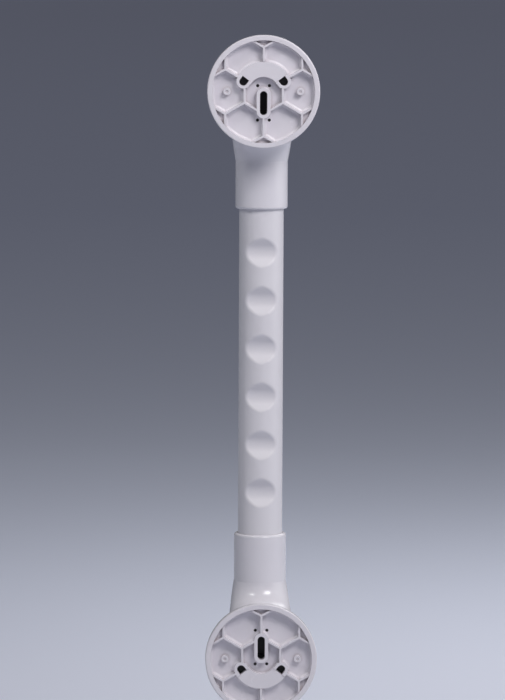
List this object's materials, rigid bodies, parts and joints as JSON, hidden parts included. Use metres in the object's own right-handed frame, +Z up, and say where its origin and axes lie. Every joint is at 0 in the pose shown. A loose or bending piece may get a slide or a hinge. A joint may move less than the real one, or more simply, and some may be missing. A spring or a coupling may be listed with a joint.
{
  "type": "suction grab bar",
  "caption": "White round grab bar with finger recesses, between two elbowed heads whose folding levers pull on suction pads.",
  "frame": {"origin": "centre of the lower head's round wall face, on the wall plane", "axes": "+Z up along the bar, from the lower head to the upper head; +Y away from the wall; +X to the right for someone looking from the wall towards the room"},
  "size_m": [0.1, 0.0805, 0.608],
  "materials": {
    "white_housing": "gloss white ABS",
    "white_grip": "gloss white ABS, fine grain",
    "white_base": "gloss white ABS",
    "grey_lever": "gloss grey ABS",
    "black_carrier": "black glass-filled nylon",
    "black_slider": "black acetal",
    "steel": "plain stainless steel",
    "aluminium_tube": "mill-finish aluminium",
    "grey_plug": "grey nylon"
  },
  "bodies": {
    "body": {"upper_shell": "white_housing", "upper_base_plate": "white_base", "upper_chassis": "black_carrier", "upper_chassis_screws": "steel", "upper_lever_axle": "steel", "upper_joint_washer": "steel", "upper_joint_bolt": "steel", "upper_tube_plug": "grey_plug", "lower_shell": "white_housing", "lower_base_plate": "white_base", "lower_chassis": "black_carrier", "lower_chassis_screws": "steel", "lower_lever_axle": "steel", "lower_joint_washer": "steel", "lower_joint_bolt": "steel", "lower_tube_plug": "grey_plug", "grip_rear_shell": "white_grip", "grip_front_shell": "white_grip", "core_tube": "aluminium_tube"},
    "upper_lever": {"upper_lever": "grey_lever"},
    "upper_drawbar": {"upper_drawbar": "black_slider", "upper_cross_pin": "steel"},
    "lower_lever": {"lower_lever": "grey_lever"},
    "lower_drawbar": {"lower_drawbar": "black_slider", "lower_cross_pin": "steel"}
  },
  "joints": [
    {"name": "upper_lever_hinge", "type": "hinge", "parent": "body", "child": "upper_lever", "pos_m": [0, 0.036, 0.508], "axis": [-1, 0, 0], "range_deg": [0, 90]},
    {"name": "upper_drawbar_slide", "type": "slide", "parent": "body", "child": "upper_drawbar", "axis": [0, -1, 0], "range_m": [0, 0.005]},
    {"name": "lower_lever_hinge", "type": "hinge", "parent": "body", "child": "lower_lever", "pos_m": [0, 0.036, 0], "axis": [1, 0, 0], "range_deg": [0, 90]},
    {"name": "lower_drawbar_slide", "type": "slide", "parent": "body", "child": "lower_drawbar", "axis": [0, -1, 0], "range_m": [0, 0.005]}
  ],
  "couplings": [
    {"joint": "upper_drawbar_slide", "follows": "upper_lever_hinge", "m_per_rad": 0.0031831},
    {"joint": "lower_drawbar_slide", "follows": "lower_lever_hinge", "m_per_rad": 0.0031831}
  ]
}
